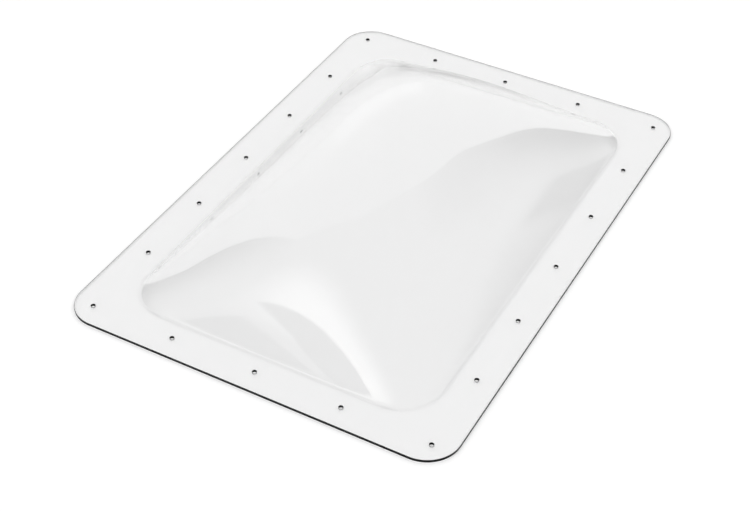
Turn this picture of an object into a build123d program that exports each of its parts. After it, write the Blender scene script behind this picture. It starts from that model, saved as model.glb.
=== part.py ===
from build123d import *
import os

# Clear bubble skylight for a caravan roof: one sheet of polycarbonate with a flat screw-down flange
# and a raised dome, formed in one piece. Millimetres. The origin is the middle of the flange's
# underside, +Z points up out of the roof, X runs across the short side and Y along the long side.

# Flange
flange_width = 457.2
flange_length = 660.4
flange_corner_radius = 38.1
sheet_thickness = 3.175
edge_ease = 0.4

# Dome, from the flange inwards. Its inner outline lies wall_step inside its outer one
flange_flat = 47.625
overall_height = 101.6
crown_thickness = 2.4
wall_step = 1.5
side_fullness = 2.0
end_fullness = 3.0
corner_fullness = 0.5
base_corner_radius = 50.8
half_stations = 10
half_points = 9
crowding = 1.7

# Screw holes, all the way round the flange
hole_diameter = 4.8
hole_edge_distance = 25.4
spaces_across = 4
spaces_along = 6

# The dome's outer and inner outlines, at the flange's top and at its underside
outer_width = flange_width - 2 * flange_flat
outer_length = flange_length - 2 * flange_flat
inner_width = outer_width - 2 * wall_step
inner_length = outer_length - 2 * wall_step

# The hole rows
pattern_width = flange_width - 2 * hole_edge_distance
pattern_length = flange_length - 2 * hole_edge_distance
pitch_across = pattern_width / spaces_across
pitch_along = pattern_length / spaces_along


def crowded(half_length, half_count):
    """Places along an axis from -half_length to half_length, closer together towards both ends."""
    steps = [n / half_count for n in range(half_count + 1)]
    half = [half_length * (1 - (1 - s) ** crowding) for s in steps]
    return [-p for p in reversed(half[1:])] + half

def base_half_width(y, width, length, corner_radius):
    """Half the width of the dome's base at y. The base is a rectangle with rounded corners."""
    into_corner = max(abs(y) - (length / 2 - corner_radius), 0)
    return width / 2 - corner_radius + max(corner_radius ** 2 - into_corner ** 2, 0) ** 0.5

def dome_share(across, along):
    """The dome's height as a share of its rise. Across is 1 over the dome's long middle line and 0
    at its sides, along is 1 over its short middle line and 0 at its ends. Over a middle line the
    share is the other of the two. Elsewhere it is a mean of both that keeps the corners full."""
    if min(across, along) <= 0:
        return 0
    sum_of_powers = across ** -corner_fullness + along ** -corner_fullness - 1
    return sum_of_powers ** (-1 / corner_fullness)

def dome_sections(width, length, corner_radius, springing, base, rise):
    """Cross-sections of a dome, one sketch at each station along Y. Each springs from the base
    outline at the height springing, and is closed below it at the height base."""
    sections = []
    for y in crowded(length / 2, half_stations):
        along = 1 - abs(2 * y / length) ** end_fullness
        half_width = base_half_width(y, width, length, corner_radius)
        top = []
        for x in crowded(half_width, half_points):
            across = 1 - abs(x / half_width) ** side_fullness
            top.append((x, springing + rise * dome_share(across, along)))
        with BuildSketch(Plane.XZ.offset(-y)) as section:
            with BuildLine():
                Spline(*top)
                Polyline(top[-1], (half_width, base), (-half_width, base), top[0])
            make_face()
        sections.append(section.sketch)
    return sections

# The space under the dome. It starts below the flange, so that it opens downwards
inner_rise = overall_height - crown_thickness
with BuildPart() as hollow:
    loft(dome_sections(
        inner_width, inner_length, base_corner_radius - wall_step, 0, -sheet_thickness, inner_rise
    ))

# The formed sheet: the flange, the dome's outside, the hollow taken out and the holes drilled
outer_rise = overall_height - sheet_thickness
with BuildPart() as skylight_dome:
    with BuildSketch(Plane.XY):
        RectangleRounded(flange_width, flange_length, flange_corner_radius)
    extrude(amount=sheet_thickness)
    flange_top = skylight_dome.faces().sort_by(Axis.Z)[-1]
    chamfer(flange_top.edges(), edge_ease)
    loft(dome_sections(
        outer_width, outer_length, base_corner_radius, sheet_thickness, sheet_thickness / 2, outer_rise
    ))
    add(hollow.part, mode=Mode.SUBTRACT)
    with GridLocations(pitch_across, pattern_length, spaces_across + 1, 2):
        Hole(hole_diameter / 2)
    with GridLocations(pattern_width, pitch_along, 2, spaces_along - 1):
        Hole(hole_diameter / 2)

skylight_dome.part.label = "skylight_dome"
os.makedirs("parts", exist_ok=True)
export_step(skylight_dome.part, "parts/skylight_dome.step")
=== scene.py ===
import math

import bpy
import numpy as np
from mathutils import Matrix, Vector


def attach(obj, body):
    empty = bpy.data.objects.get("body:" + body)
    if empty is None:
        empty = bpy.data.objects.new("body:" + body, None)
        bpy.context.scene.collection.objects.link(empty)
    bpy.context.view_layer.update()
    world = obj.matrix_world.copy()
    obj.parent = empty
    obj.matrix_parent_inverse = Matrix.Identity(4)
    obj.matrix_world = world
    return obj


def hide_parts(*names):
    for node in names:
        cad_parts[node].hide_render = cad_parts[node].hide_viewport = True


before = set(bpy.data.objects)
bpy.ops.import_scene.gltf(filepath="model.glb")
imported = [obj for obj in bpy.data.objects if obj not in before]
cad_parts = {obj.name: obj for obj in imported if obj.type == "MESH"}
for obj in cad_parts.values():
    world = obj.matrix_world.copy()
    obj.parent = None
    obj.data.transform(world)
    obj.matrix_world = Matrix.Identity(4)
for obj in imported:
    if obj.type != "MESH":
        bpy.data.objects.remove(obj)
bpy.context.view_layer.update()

MM = 0.001

# The formed sheet, in millimetres, as in the solid: the flange, half the width and length of the
# dome's base on the flange's top, and how far each skin of the dome rises over its own flange
FLANGE_WIDTH, FLANGE_LENGTH, CORNER_RADIUS = 457.2, 660.4, 38.1
SHEET = 3.175
OUTER_A, OUTER_B = 180.975, 282.575
WALL_STEP = 1.5
BASE_CORNER = 50.8
OUTER_RISE, INNER_RISE = 98.425, 99.2

# The crease between flange and dome: the slope at which the dome leaves the flange, and how far to
# each side the top and the underside are rounded
CREASE_SLOPE = 1.07
OUTER_BEND, INNER_BEND = 1.7, 3.1

# The cut edges, in millimetres: arrises at the top and the underside, and the screw holes. NIB is
# how far from the corner the middle of the top arris lies
TOP_EASE, UNDER_EASE, NIB = 0.4, 0.15, 0.12
HOLE_RADIUS, HOLE_EASE, HOLE_NIB = 2.4, 0.25, 0.07
HOLES_X = (-203.2, -101.6, 0.0, 101.6, 203.2)
HOLES_Y = (-304.8, -203.2, -101.6, 0.0, 101.6, 203.2, 304.8)

# The mesh: half the square round a hole, its cells along a side, and how far from the hole towards
# the square its two rings between lie
BLOCK, BLOCK_CELLS = 7.0, 8
RING_SHARES = (0.45, 0.12)

# The mesh's lines: the finest spacing in millimetres, held for FINE_BAND to both sides of the
# crease, how much it grows with each millimetre beyond, and the coarsest
FINEST, FINE_BAND, GROWTH, COARSEST = 0.45, 2.5, 0.16, 5.5

# Edges that bend by more degrees than this are drawn sharp
SHARP_ANGLE = 30

# The sheet's surface, in millimetres: the length of its waves, the size of the haze's patches, the
# spacing of the cutter's marks, and how high the waves and marks stand
WAVE_LENGTH, HAZE_PATCH, CUTTER_MARK = 62.5, 20.0, 2 / 3
RELIEF = 0.03
POLYCARBONATE_IOR = 1.585

# The room, as shares of plain white: its levels, how much of it the gaps and the doorway take away,
# and how much the lamp and the board's low patch add. The board stands square to an azimuth, in
# degrees from +Y towards +X, and the lamp stands over x, y in units of its height
ROOM_LEVEL, BOARD_LEVEL, SLOT_LEVEL = 0.95, 1.12, 0.52
RIGHT_GAP, LEFT_GAP, DOORWAY = 0.85, 0.9, 0.65
BOARD_AZIMUTH, PATCH_GAIN = -33.0, 0.1
LAMP, LAMP_GAIN = (-0.34, -0.56), 1.2

# The least that a direction's share is taken as, so that nothing is divided by nought
LEAST_SHARE = 0.01

# The floor: its glow where it is seen, and half its length and its depth under the flange in metres
FLOOR_GLOW = 0.23
FLOOR_HALF, FLOOR_DROP = 6.0, 0.0005

# Light runs along inside the sheet for many bounces before it comes out at a rim
GUIDED_BOUNCES = 128


def linear(hex_colour):
    """The linear red, green, blue and alpha of an sRGB hex colour."""
    parts = [int(hex_colour[i:i + 2], 16) / 255 for i in (1, 3, 5)]
    return [p / 12.92 if p <= 0.04045 else ((p + 0.055) / 1.055) ** 2.4 for p in parts] + [1.0]


def dome_height(x, y, a, b, corner, rise, bend):
    """Height of one skin of the dome over its own flange, at the points x, y.

    The base is a rectangle of half sizes a and b with rounded corners. Across is one minus the
    square of the way out to its side, along is one minus the cube of the way out to its end. Inside
    the base, the height is rise over the square of (one over the root of across, plus one over the
    root of along, minus one). Outside it, the smaller of the two times rise goes on downwards. The
    crease is rounded where the height passes nought, over the distance bend to both sides.
    """
    x, y = np.abs(x), np.abs(y)
    into_corner = np.clip(y - (b - corner), 0, corner)
    across = 1 - (x / (a - corner + np.sqrt(corner ** 2 - into_corner ** 2))) ** 2
    along = 1 - (y / b) ** 3
    least = np.minimum(across, along)
    roots = np.maximum(across, 1e-9) ** -0.5 + np.maximum(along, 1e-9) ** -0.5
    z = rise * np.where(least > 0, (roots - 1) ** -2, least)
    reach = bend * CREASE_SLOPE
    return np.maximum(z, 0) + np.maximum(reach - np.abs(z), 0) ** 2 / (4 * reach)


def grid_lines(half, crease, holes):
    """Places of the grid's lines along one axis, from -half to half.

    The lines are close together at the crease, spread out away from it, and are even across the
    square block round each hole.
    """
    stops = {-half, half}
    for h in holes:
        stops |= {h - BLOCK, h + BLOCK}
    stops = sorted(stops)
    lines = [stops[0]]
    for low, high in zip(stops[:-1], stops[1:]):
        if any(abs((low + high) / 2 - h) < 0.01 for h in holes):
            part = np.linspace(low, high, BLOCK_CELLS + 1)
        else:
            fine = np.linspace(low, high, 400)
            off = np.maximum(np.abs(np.abs(fine) - crease) - FINE_BAND, 0)
            spacing = np.minimum(FINEST + GROWTH * off, COARSEST)
            cells = (fine[1] - fine[0]) * 2 / (spacing[1:] + spacing[:-1])
            steps = np.concatenate([[0], np.cumsum(cells)])
            count = max(int(math.ceil(steps[-1])), 1)
            part = np.interp(np.linspace(0, steps[-1], count + 1), steps, fine)
        lines += list(part[1:])
    return np.array(lines)


def rounded(x, y, inset):
    """The square grid's points with its corners drawn in to the flange's rounded corners, the
    outermost lines lying inset inside the cut edge. Only the corner squares' outer bands move."""
    radius = CORNER_RADIUS - inset
    hold = 0.55 * radius
    edge_x, edge_y = FLANGE_WIDTH / 2 - CORNER_RADIUS, FLANGE_LENGTH / 2 - CORNER_RADIUS
    px, py = np.maximum(np.abs(x) - edge_x, 0), np.maximum(np.abs(y) - edge_y, 0)
    reach = np.maximum(px, py)
    share = np.clip((reach - hold) / (radius - hold), 0, 1)
    pull = 1 - share * (1 - reach / np.maximum(np.hypot(px, py), 1e-9))
    pull = np.where(np.minimum(px, py) > 0, pull, 1)
    return (np.sign(x) * (np.minimum(np.abs(x), edge_x) + px * pull),
            np.sign(y) * (np.minimum(np.abs(y), edge_y) + py * pull))


def loop_of(index):
    """The outermost entries of a grid of vertex numbers, once round anticlockwise from above."""
    return np.concatenate([index[:-1, 0], index[-1, :-1], index[:0:-1, -1], index[0, :0:-1]])


def clear_sheet_mesh():
    """One closed mesh of the formed sheet, with its twenty holes, in metres.

    Both skins are the same grid of lines at their own heights. Round each hole a square block of
    the grid is left out and filled with rings that turn from the square into the circle. Strips
    join the skins down the cut edge and down each hole's wall, with eased arrises.
    """
    lines_x = grid_lines(FLANGE_WIDTH / 2, OUTER_A, HOLES_X)
    lines_y = grid_lines(FLANGE_LENGTH / 2, OUTER_B, HOLES_Y)
    nx, ny = len(lines_x), len(lines_y)
    index = np.arange(nx * ny).reshape(nx, ny)
    centres = [(x, y) for x in HOLES_X for y in HOLES_Y
               if abs(x) > OUTER_A or abs(y) > OUTER_B]

    def skin(inset, height):
        """The points of one skin: the grid with its outermost lines inset, at its heights."""
        gx, gy = lines_x.copy(), lines_y.copy()
        gx[[0, -1]] = [inset - FLANGE_WIDTH / 2, FLANGE_WIDTH / 2 - inset]
        gy[[0, -1]] = [inset - FLANGE_LENGTH / 2, FLANGE_LENGTH / 2 - inset]
        x, y = rounded(*np.meshgrid(gx, gy, indexing="ij"), inset)
        return np.stack([x, y, height(x, y)], -1).reshape(-1, 3)

    top = skin(TOP_EASE, lambda x, y: SHEET + dome_height(
        x, y, OUTER_A, OUTER_B, BASE_CORNER, OUTER_RISE, OUTER_BEND))
    under = skin(UNDER_EASE, lambda x, y: dome_height(
        x, y, OUTER_A - WALL_STEP, OUTER_B - WALL_STEP, BASE_CORNER - WALL_STEP,
        INNER_RISE, INNER_BEND))

    keep = np.ones((nx - 1, ny - 1), bool)
    blocks = []
    for cx, cy in centres:
        i = int(np.argmin(np.abs(lines_x - (cx - BLOCK))))
        j = int(np.argmin(np.abs(lines_y - (cy - BLOCK))))
        keep[i:i + BLOCK_CELLS, j:j + BLOCK_CELLS] = False
        blocks.append((cx, cy, loop_of(index[i:i + BLOCK_CELLS + 1, j:j + BLOCK_CELLS + 1])))

    quads = np.stack([index[:-1, :-1], index[1:, :-1], index[1:, 1:], index[:-1, 1:]], -1)[keep]
    points = [top, under]
    faces = [quads, quads[:, ::-1] + nx * ny]
    materials = [np.zeros(2 * len(quads), int)]
    count = 2 * nx * ny

    def strip(upper, lower, material):
        """Quads from one loop of vertices to the next, facing outwards from the upper loop."""
        faces.append(np.stack([upper, lower, np.roll(lower, -1), np.roll(upper, -1)], -1))
        materials.append(np.full(len(upper), material))

    def add_loop(loop_points):
        """Adds a loop of points and gives back their vertex numbers."""
        nonlocal count
        points.append(loop_points)
        count += len(loop_points)
        return np.arange(count - len(loop_points), count)

    # The cut edge, from the top skin's outer loop down to the underside's
    outer = loop_of(index)
    loops = [outer]
    for inset, z in ((NIB, SHEET - NIB), (0.0, SHEET - TOP_EASE), (0.0, UNDER_EASE)):
        flat = skin(inset, lambda x, y: np.full_like(x, z))
        loops.append(add_loop(flat[outer]))
    loops.append(outer + nx * ny)
    for upper, lower in zip(loops[:-1], loops[1:]):
        strip(upper, lower, 1)

    # The holes, from the block's square in to the circle, down the wall and out to the square again
    wide = HOLE_RADIUS + HOLE_EASE
    for cx, cy, ring in blocks:
        offset = top[ring][:, :2] - (cx, cy)
        angle = np.arctan2(offset[:, 1], offset[:, 0])
        circle = np.stack([np.cos(angle), np.sin(angle)], -1)

        def ring_points(share, radius, z):
            """A loop share of the way from the circle of that radius out to the square."""
            flat = circle * radius * (1 - share) + offset * share
            return np.column_stack([flat + (cx, cy), np.full(len(flat), z)])

        down = [ring]
        for share, radius, z in (
                (RING_SHARES[0], wide, SHEET),
                (RING_SHARES[1], wide, SHEET),
                (0.0, wide, SHEET),
                (0.0, HOLE_RADIUS + HOLE_NIB, SHEET - HOLE_NIB),
                (0.0, HOLE_RADIUS, SHEET - HOLE_EASE),
                (0.0, HOLE_RADIUS, UNDER_EASE),
                (0.0, HOLE_RADIUS + UNDER_EASE, 0.0),
                (RING_SHARES[1], wide, 0.0),
                (RING_SHARES[0], wide, 0.0)):
            down.append(add_loop(ring_points(share, radius, z)))
        down.append(ring + nx * ny)
        for k, (upper, lower) in enumerate(zip(down[:-1], down[1:])):
            # The hole's wall takes the routed edge material, painted nearly black as painted shade
            strip(lower, upper, 1 if 3 <= k <= 6 else 0)

    # Only the vertices that a face uses are kept
    vertices, quads = np.concatenate(points), np.concatenate(faces)
    used = np.zeros(len(vertices), bool)
    used[quads] = True
    number = np.cumsum(used) - 1
    return vertices[used] * MM, number[quads], np.concatenate(materials)


def make_object(name, vertices, quads, material_numbers, materials):
    """A mesh object from numpy arrays, smooth but for the edges sharper than SHARP_ANGLE."""
    mesh = bpy.data.meshes.new(name)
    mesh.vertices.add(len(vertices))
    mesh.vertices.foreach_set("co", vertices.astype(np.float32).ravel())
    mesh.loops.add(quads.size)
    mesh.loops.foreach_set("vertex_index", quads.astype(np.int32).ravel())
    mesh.polygons.add(len(quads))
    mesh.polygons.foreach_set("loop_start", np.arange(0, quads.size, 4, dtype=np.int32))
    for material in materials:
        mesh.materials.append(material)
    mesh.update(calc_edges=True)
    mesh.polygons.foreach_set("material_index", material_numbers.astype(np.int32))
    mesh.polygons.foreach_set("use_smooth", np.ones(len(quads), bool))
    mesh.set_sharp_from_angle(angle=math.radians(SHARP_ANGLE))
    mesh.validate()
    mesh.update()
    thing = bpy.data.objects.new(name, mesh)
    bpy.context.scene.collection.objects.link(thing)
    return thing


def empty_tree(owner):
    """The node tree of a material or a world, with nothing in it."""
    owner.use_nodes = True
    owner.node_tree.nodes.clear()
    return owner.node_tree


def add_node(tree, kind, inputs=None, **settings):
    """Adds a node with its settings. inputs gives its sockets, by name or number, a value, another
    node's output, or another node, whose first output it then takes."""
    node = tree.nodes.new(kind)
    for key, value in settings.items():
        setattr(node, key, value)
    for key, value in (inputs or {}).items():
        if isinstance(value, bpy.types.Node):
            value = value.outputs[0]
        if isinstance(value, bpy.types.NodeSocket):
            tree.links.new(value, node.inputs[key])
        else:
            node.inputs[key].default_value = value
    return node


def clear_polycarbonate():
    """Clear polycarbonate, formed from extruded sheet: glossy, and a faint grey over white."""
    material = bpy.data.materials.new("clear polycarbonate, blown from extruded sheet")
    tree = empty_tree(material)
    place = add_node(tree, "ShaderNodeTexCoord").outputs["Object"]
    # Faint waviness of the extruded sheet: it bends the reflections' outlines a little
    wave = add_node(tree, "ShaderNodeTexNoise", {
        "Vector": place, "Scale": 1 / (WAVE_LENGTH * MM), "Detail": 1.0})
    surface = add_node(tree, "ShaderNodeBump", {
        "Height": wave, "Strength": 1.0, "Distance": RELIEF * MM})
    # Handling haze, in soft patches: it takes the edge off the sharpest glints
    haze = add_node(tree, "ShaderNodeTexNoise", {
        "Vector": place, "Scale": 1 / (HAZE_PATCH * MM), "Detail": 4.0})
    rough = add_node(tree, "ShaderNodeMapRange", {
        "Value": haze, "From Min": 0.35, "From Max": 0.75, "To Min": 0.0, "To Max": 0.03})
    shader = add_node(tree, "ShaderNodeBsdfPrincipled", {
        "Base Color": linear("#f2f2f2"), "Transmission Weight": 1.0, "IOR": POLYCARBONATE_IOR,
        "Roughness": rough, "Normal": surface})
    add_node(tree, "ShaderNodeOutputMaterial", {"Surface": shader, "Volume": sheet_tint(tree)})
    return material


def sheet_tint(tree):
    """The light that the plastic itself takes: little across the sheet, most of it along it."""
    return add_node(tree, "ShaderNodeVolumeAbsorption", {
        "Color": linear("#7e7e7e"), "Density": 4.0})


def routed_polycarbonate_painted_dark():
    """Clear polycarbonate, cut by a router or a drill: satin, and painted nearly black, as the
    photograph shows it. Its base colour and its reflection are tinted darker than real cut
    plastic's: painted shade and a painted dark reflection on the cut edges and the holes' walls."""
    material = bpy.data.materials.new("clear polycarbonate, routed edge, painted dark")
    tree = empty_tree(material)
    place = add_node(tree, "ShaderNodeTexCoord").outputs["Object"]
    # Cutter marks, upright, ten times as long as they are wide
    marks = add_node(tree, "ShaderNodeMapping", {"Vector": place, "Scale": (1.0, 1.0, 0.1)})
    ridges = add_node(tree, "ShaderNodeTexNoise", {
        "Vector": marks, "Scale": 1 / (CUTTER_MARK * MM), "Detail": 2.0})
    surface = add_node(tree, "ShaderNodeBump", {
        "Height": ridges, "Strength": 1.0, "Distance": RELIEF * MM})
    # Base colour and specular tint are painted nearly black: painted shade and painted dark
    # reflection, not the plastic's own colour
    shader = add_node(tree, "ShaderNodeBsdfPrincipled", {
        "Base Color": linear("#0a0b0b"), "Transmission Weight": 1.0, "IOR": POLYCARBONATE_IOR,
        "Specular Tint": linear("#404040"), "Roughness": 0.3, "Normal": surface})
    add_node(tree, "ShaderNodeOutputMaterial", {"Surface": shader, "Volume": sheet_tint(tree)})
    return material


def white_floor():
    """White paper floor. It keeps the object's shadow, and the open floor shows as plain white."""
    material = bpy.data.materials.new("white paper floor")
    tree = empty_tree(material)
    paper = add_node(tree, "ShaderNodeBsdfDiffuse", {"Color": linear("#f3f3f3")})
    # The glow is for what the camera sees, also in or through the clear sheet, and lights nothing
    path = add_node(tree, "ShaderNodeLightPath")
    seen = add_node(tree, "ShaderNodeMath", {
        0: path.outputs["Is Camera Ray"], 1: path.outputs["Is Glossy Ray"]}, operation="MAXIMUM")
    seen = add_node(tree, "ShaderNodeMath", {
        0: seen, 1: path.outputs["Is Transmission Ray"]}, operation="MAXIMUM")
    strength = add_node(tree, "ShaderNodeMath", {0: seen, 1: FLOOR_GLOW}, operation="MULTIPLY")
    glow = add_node(tree, "ShaderNodeEmission", {"Color": (1, 1, 1, 1), "Strength": strength})
    both = add_node(tree, "ShaderNodeAddShader", {0: paper, 1: glow})
    add_node(tree, "ShaderNodeOutputMaterial", {"Surface": both})
    return material


def add_floor():
    """A square floor, half a millimetre under the flange so that the two don't lie in one plane."""
    corners = np.array([(x, y, -FLOOR_DROP) for x, y in (
        (-FLOOR_HALF, -FLOOR_HALF), (FLOOR_HALF, -FLOOR_HALF),
        (FLOOR_HALF, FLOOR_HALF), (-FLOOR_HALF, FLOOR_HALF))])
    floor = make_object("floor", corners, np.array([[0, 1, 2, 3]]), np.zeros(1), [white_floor()])


def add_studio():
    """A white room. Behind the object, up and to the left, stands a white board with a brighter
    patch low on it. It has a dark gap on each side, and the right-hand gap has a darker doorway.
    In front, to the left, the ceiling has a soft lamp beside two dark slots."""
    world = bpy.data.worlds.new("studio")
    bpy.context.scene.world = world
    tree = empty_tree(world)
    way = add_node(tree, "ShaderNodeTexCoord").outputs["Generated"]
    x, y, z = add_node(tree, "ShaderNodeSeparateXYZ", {0: way}).outputs

    def soft_edge(value, nought_at, one_at, interpolation="SMOOTHSTEP"):
        """The soft edge of a shape in the room: 0 at nought_at and before it, 1 from one_at on."""
        return add_node(tree, "ShaderNodeMapRange", {
            "Value": value, "From Min": nought_at, "From Max": one_at, "To Min": 0.0,
            "To Max": 1.0}, interpolation_type=interpolation)

    def leaning(value, other, lean):
        """A measure for an edge that leans: value plus lean times other."""
        return add_node(tree, "ShaderNodeMath", {
            0: other, 1: lean, 2: value}, operation="MULTIPLY_ADD")

    def where_all(*shares):
        """Where all of the shares hold: their product."""
        product = shares[0]
        for share in shares[1:]:
            product = add_node(tree, "ShaderNodeMath", {
                0: product, 1: share}, operation="MULTIPLY")
        return product

    def dimmed(share, depth):
        """1 outside a shape, and 1 less depth inside it."""
        return add_node(tree, "ShaderNodeMath", {
            0: share, 1: -depth, 2: 1.0}, operation="MULTIPLY_ADD")

    # Where a direction meets the board, across and up it, in units of the board's distance
    facing = math.radians(BOARD_AZIMUTH)
    ahead = add_node(tree, "ShaderNodeVectorMath", {
        0: way, 1: (math.sin(facing), math.cos(facing), 0.0)},
        operation="DOT_PRODUCT").outputs["Value"]
    aside = add_node(tree, "ShaderNodeVectorMath", {
        0: way, 1: (math.cos(facing), -math.sin(facing), 0.0)},
        operation="DOT_PRODUCT").outputs["Value"]
    reach = add_node(tree, "ShaderNodeMath", {0: ahead, 1: LEAST_SHARE}, operation="MAXIMUM")
    across = add_node(tree, "ShaderNodeMath", {0: aside, 1: reach}, operation="DIVIDE")
    up = add_node(tree, "ShaderNodeMath", {0: z, 1: reach}, operation="DIVIDE")
    board = where_all(
        soft_edge(ahead, 0.0, 0.02),
        soft_edge(leaning(across, up, 0.24), -0.71, -0.69),
        soft_edge(leaning(across, up, -0.44), 0.76, 0.72),
        soft_edge(across, 1.12, 1.08),
        soft_edge(leaning(across, up, 0.73), 1.88, 1.84),
        soft_edge(leaning(up, across, 0.08), 2.43, 2.33))
    low_patch = where_all(
        board,
        soft_edge(up, 0.26, 0.16),
        soft_edge(across, -0.24, -0.19),
        soft_edge(across, 0.1, 0.06))
    board = add_node(tree, "ShaderNodeMath", {
        0: low_patch, 1: PATCH_GAIN, 2: board}, operation="MULTIPLY_ADD")

    # The gaps and the doorway, by the azimuth in degrees from +Y towards +X and by the elevation.
    # They close above, and the right-hand side of the room is darker towards the floor
    turn = add_node(tree, "ShaderNodeMath", {0: x, 1: y}, operation="ARCTAN2")
    azimuth = add_node(tree, "ShaderNodeMath", {0: turn}, operation="DEGREES")
    rise = add_node(tree, "ShaderNodeMath", {0: z}, operation="ARCSINE")
    elevation = add_node(tree, "ShaderNodeMath", {0: rise}, operation="DEGREES")
    right_gap = where_all(
        soft_edge(azimuth, -20.0, -19.0),
        soft_edge(azimuth, 40.0, 16.0),
        soft_edge(elevation, 50.0, 26.0, "LINEAR"))
    left_gap = where_all(
        soft_edge(azimuth, -118.0, -84.0),
        soft_edge(azimuth, -19.0, -20.0),
        soft_edge(elevation, 60.0, 30.0, "LINEAR"))
    doorway = where_all(
        soft_edge(azimuth, 32.5, 34.5),
        soft_edge(azimuth, 40.5, 39.0),
        soft_edge(elevation, 19.5, 18.0))
    low_right = where_all(
        soft_edge(azimuth, -20.0, -19.0),
        soft_edge(azimuth, 160.0, 140.0),
        soft_edge(elevation, 22.0, 4.0, "LINEAR"))
    walls = where_all(dimmed(right_gap, RIGHT_GAP), dimmed(left_gap, LEFT_GAP),
                      dimmed(low_right, 1.0), dimmed(doorway, DOORWAY))
    walls = add_node(tree, "ShaderNodeMath", {0: walls, 1: ROOM_LEVEL}, operation="MULTIPLY")
    board = add_node(tree, "ShaderNodeMath", {0: board, 1: BOARD_LEVEL}, operation="MULTIPLY")
    room = add_node(tree, "ShaderNodeMath", {0: walls, 1: board}, operation="MAXIMUM")

    # The ceiling in front, by where a direction meets it, in units of its height
    height = add_node(tree, "ShaderNodeMath", {0: z, 1: LEAST_SHARE}, operation="MAXIMUM")
    over_x = add_node(tree, "ShaderNodeMath", {0: x, 1: height}, operation="DIVIDE")
    over_y = add_node(tree, "ShaderNodeMath", {0: y, 1: height}, operation="DIVIDE")
    overhead = soft_edge(z, 0.3, 0.4)
    meeting = add_node(tree, "ShaderNodeCombineXYZ", {0: over_x, 1: over_y})
    from_lamp = add_node(tree, "ShaderNodeVectorMath", {
        0: meeting, 1: (LAMP[0], LAMP[1], 0.0)}, operation="DISTANCE").outputs["Value"]
    lamp = where_all(overhead, soft_edge(from_lamp, 0.48, 0.08))
    slot_side = add_node(tree, "ShaderNodeMath", {
        0: soft_edge(leaning(over_x, over_y, 0.464), -0.937, -0.917),
        1: soft_edge(over_x, -0.53, -0.51)}, operation="MAXIMUM")
    long_slot = where_all(
        overhead,
        slot_side,
        soft_edge(over_y, -0.605, -0.635),
        soft_edge(over_y, -1.3, -1.2))
    short_slot = where_all(
        overhead,
        soft_edge(leaning(over_x, over_y, 0.3), -0.90, -0.93),
        soft_edge(over_x, -0.79, -0.75),
        soft_edge(over_y, -0.79, -0.83),
        soft_edge(over_y, -1.4, -1.3))
    slots = add_node(tree, "ShaderNodeMath", {0: long_slot, 1: short_slot}, operation="MAXIMUM")
    room = add_node(tree, "ShaderNodeMath", {
        0: lamp, 1: LAMP_GAIN, 2: room}, operation="MULTIPLY_ADD")
    room = add_node(tree, "ShaderNodeMath", {
        0: slots, 1: SLOT_LEVEL, 2: where_all(room, dimmed(slots, 1.0))},
        operation="MULTIPLY_ADD")

    back = add_node(tree, "ShaderNodeBackground", {"Color": (1, 1, 1, 1), "Strength": room})
    add_node(tree, "ShaderNodeOutputWorld", {"Surface": back})


def add_camera():
    """The photograph's camera: in front, to the right and above, at about 72 mm."""
    azimuth, elevation, roll = math.radians(27.77), math.radians(40.45), math.radians(1.224)
    eye = Vector((0.6136, -1.2079, 1.0875))
    forward = Vector((-math.sin(azimuth) * math.cos(elevation),
                      math.cos(azimuth) * math.cos(elevation), -math.sin(elevation)))
    level = forward.cross(Vector((0, 0, 1))).normalized()
    upright = level.cross(forward)
    right = level * math.cos(roll) + upright * math.sin(roll)
    up = upright * math.cos(roll) - level * math.sin(roll)
    camera = bpy.data.objects.new("camera", bpy.data.cameras.new("camera"))
    camera.data.sensor_width = 36.0
    camera.data.lens = 71.56
    turned = Matrix((right, up, -forward)).transposed().to_4x4()
    camera.matrix_world = Matrix.Translation(eye) @ turned
    bpy.context.scene.collection.objects.link(camera)
    bpy.context.scene.camera = camera


vertices, quads, numbers = clear_sheet_mesh()
dome = make_object("clear_sheet_dome", vertices, quads, numbers,
                   [clear_polycarbonate(), routed_polycarbonate_painted_dark()])
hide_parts("skylight_dome")
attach(dome, "root")

add_floor()
add_studio()
add_camera()
scene = bpy.context.scene
scene.cycles.max_bounces = GUIDED_BOUNCES
scene.cycles.transmission_bounces = GUIDED_BOUNCES
scene.cycles.glossy_bounces = GUIDED_BOUNCES
scene.cycles.blur_glossy = 0.0
scene.view_settings.view_transform = "Standard"
